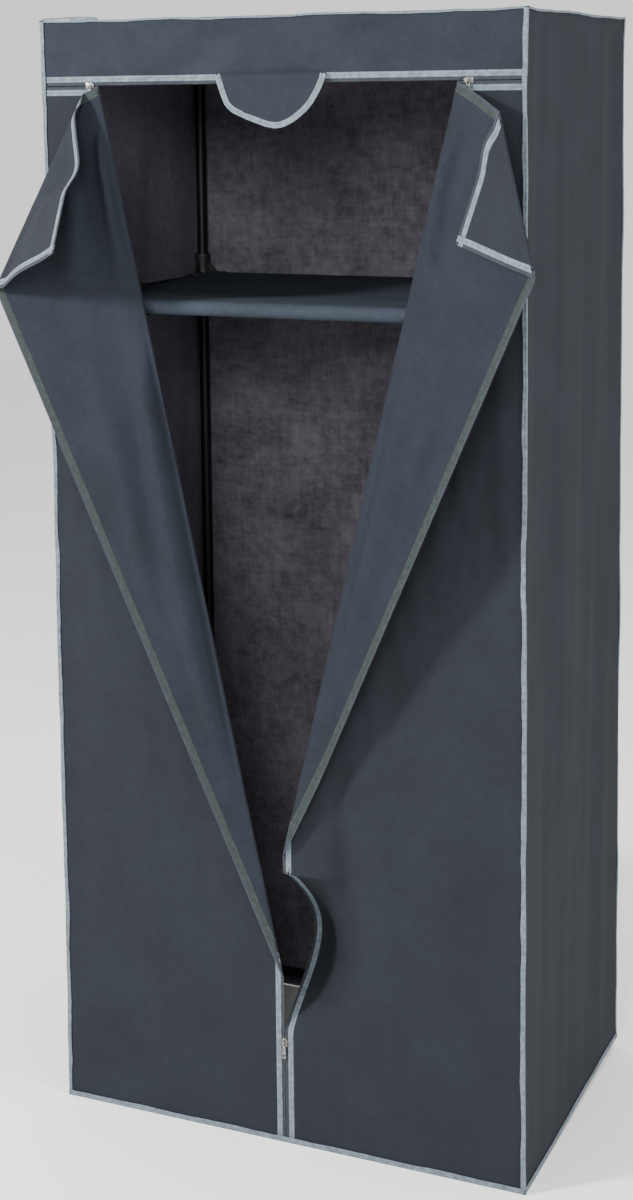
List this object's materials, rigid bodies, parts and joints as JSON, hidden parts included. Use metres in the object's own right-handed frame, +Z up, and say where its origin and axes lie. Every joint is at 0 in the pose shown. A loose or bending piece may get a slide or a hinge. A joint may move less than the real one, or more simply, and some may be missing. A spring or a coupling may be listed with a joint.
{
  "type": "portable fabric wardrobe",
  "caption": "Free-standing wardrobe of plug-together steel tubes under a bound fabric cover, with two zipped doors turned back from a V-shaped opening.",
  "frame": {"origin": "centre of the bounding box in plan, on the floor", "axes": "+Z up, the doors face -Y, +X to the right of someone facing them from the front"},
  "size_m": [0.8156, 0.5844, 1.56],
  "materials": {
    "cover_fabric": "matt non-woven fabric, slate blue-grey",
    "lining": "matt non-woven fabric, inner side, mottled purple-grey",
    "binding_tape": "light grey woven binding tape",
    "black_steel": "black powder coat, semi-gloss",
    "black_plastic": "moulded, slightly rough",
    "nickel": "nickel plated, polished"
  },
  "bodies": {
    "wardrobe": {"foot_connector_front_left": "black_plastic", "shelf_connector_front_left": "black_plastic", "top_connector_front_left": "black_plastic", "lower_post_front_left": "black_steel", "middle_post_front_left": "black_steel", "upper_post_front_left": "black_steel", "foot_connector_front_right": "black_plastic", "shelf_connector_front_right": "black_plastic", "top_connector_front_right": "black_plastic", "lower_post_front_right": "black_steel", "middle_post_front_right": "black_steel", "upper_post_front_right": "black_steel", "foot_connector_rear_left": "black_plastic", "shelf_connector_rear_left": "black_plastic", "top_connector_rear_left": "black_plastic", "lower_post_rear_left": "black_steel", "middle_post_rear_left": "black_steel", "upper_post_rear_left": "black_steel", "foot_connector_rear_right": "black_plastic", "shelf_connector_rear_right": "black_plastic", "top_connector_rear_right": "black_plastic", "lower_post_rear_right": "black_steel", "middle_post_rear_right": "black_steel", "upper_post_rear_right": "black_steel", "bottom_rail_front": "black_steel", "bottom_rail_rear": "black_steel", "bottom_rail_left": "black_steel", "bottom_rail_right": "black_steel", "shelf_rail_front": "black_steel", "shelf_rail_rear": "black_steel", "shelf_rail_left": "black_steel", "shelf_rail_right": "black_steel", "top_rail_front": "black_steel", "top_rail_rear": "black_steel", "top_rail_left": "black_steel", "top_rail_right": "black_steel", "rail_hook_left": "black_plastic", "rail_hook_right": "black_plastic", "hanging_rail": "black_steel", "cover_top": "cover_fabric", "cover_back": "cover_fabric", "cover_left": "cover_fabric", "cover_right": "cover_fabric", "hem_binding": "binding_tape", "valance": "cover_fabric", "door_left": "cover_fabric", "door_right": "cover_fabric", "shelf_cloth": "cover_fabric"},
    "left_lapel": {"lapel_left": "lining"},
    "left_corner": {"corner_left": "cover_fabric"},
    "right_lapel": {"lapel_right": "lining"},
    "right_corner": {"corner_right": "cover_fabric"},
    "centre_slider": {"centre_slider": "nickel"},
    "top_left_slider": {"top_left_slider": "nickel"},
    "top_right_slider": {"top_right_slider": "nickel"},
    "centre_pull": {"centre_pull": "nickel"},
    "top_left_pull": {"top_left_pull": "nickel"},
    "top_right_pull": {"top_right_pull": "nickel"},
    "tab": {"valance_tab": "cover_fabric"}
  },
  "joints": [
    {"name": "left_flap_fold", "type": "hinge", "parent": "wardrobe", "child": "left_lapel", "pos_m": [-0.25019, -0.16651, 1.47], "axis": [-0.2068, 0, 0.9784], "range_deg": [0, 174]},
    {"name": "right_flap_fold", "type": "hinge", "parent": "wardrobe", "child": "right_lapel", "pos_m": [0.27281, -0.16651, 1.47], "axis": [-0.2368, 0, -0.9716], "range_deg": [0, 148]},
    {"name": "left_corner_fold", "type": "hinge", "parent": "left_lapel", "child": "left_corner", "pos_m": [-0.26422, -0.1701, 1.46372], "axis": [-0.455, -0.0661, -0.888], "range_deg": [0, 130]},
    {"name": "right_corner_fold", "type": "hinge", "parent": "right_lapel", "child": "right_corner", "pos_m": [0.3381, -0.21407, 1.43238], "axis": [-0.3117, 0.3216, 0.8941], "range_deg": [0, 172]},
    {"name": "centre_slider_slide", "type": "slide", "parent": "wardrobe", "child": "centre_slider", "axis": [0, 0, 1], "range_m": [0, 1.302]},
    {"name": "top_left_slide", "type": "slide", "parent": "wardrobe", "child": "top_left_slider", "axis": [1, 0, 0], "range_m": [0, 0.253]},
    {"name": "top_right_slide", "type": "slide", "parent": "wardrobe", "child": "top_right_slider", "axis": [-1, 0, 0], "range_m": [0, 0.244]},
    {"name": "valance_tab_lift", "type": "hinge", "parent": "wardrobe", "child": "tab", "pos_m": [0.01081, -0.16961, 1.48155], "axis": [-1, 0, 0], "range_deg": [0, 150]},
    {"name": "centre_pull_swing", "type": "hinge", "parent": "centre_slider", "child": "centre_pull", "pos_m": [0.01081, -0.16891, 0.148], "axis": [-1, 0, 0], "range_deg": [0, 165]},
    {"name": "top_left_pull_swing", "type": "hinge", "parent": "top_left_slider", "child": "top_left_pull", "pos_m": [-0.26219, -0.16891, 1.47], "axis": [-1, 0, 0], "range_deg": [0, 100]},
    {"name": "top_right_pull_swing", "type": "hinge", "parent": "top_right_slider", "child": "top_right_pull", "pos_m": [0.27481, -0.16891, 1.47], "axis": [-1, 0, 0], "range_deg": [0, 100]}
  ],
  "couplings": [
    {"joint": "right_flap_fold", "follows": "left_flap_fold", "ratio": 0.85057},
    {"joint": "left_corner_fold", "follows": "left_flap_fold", "ratio": 0.74713},
    {"joint": "right_corner_fold", "follows": "left_flap_fold", "ratio": 0.98851},
    {"joint": "centre_slider_slide", "follows": "left_flap_fold", "m_per_rad": 0.42873},
    {"joint": "top_left_slide", "follows": "left_flap_fold", "m_per_rad": 0.083309},
    {"joint": "top_right_slide", "follows": "left_flap_fold", "m_per_rad": 0.080346}
  ]
}
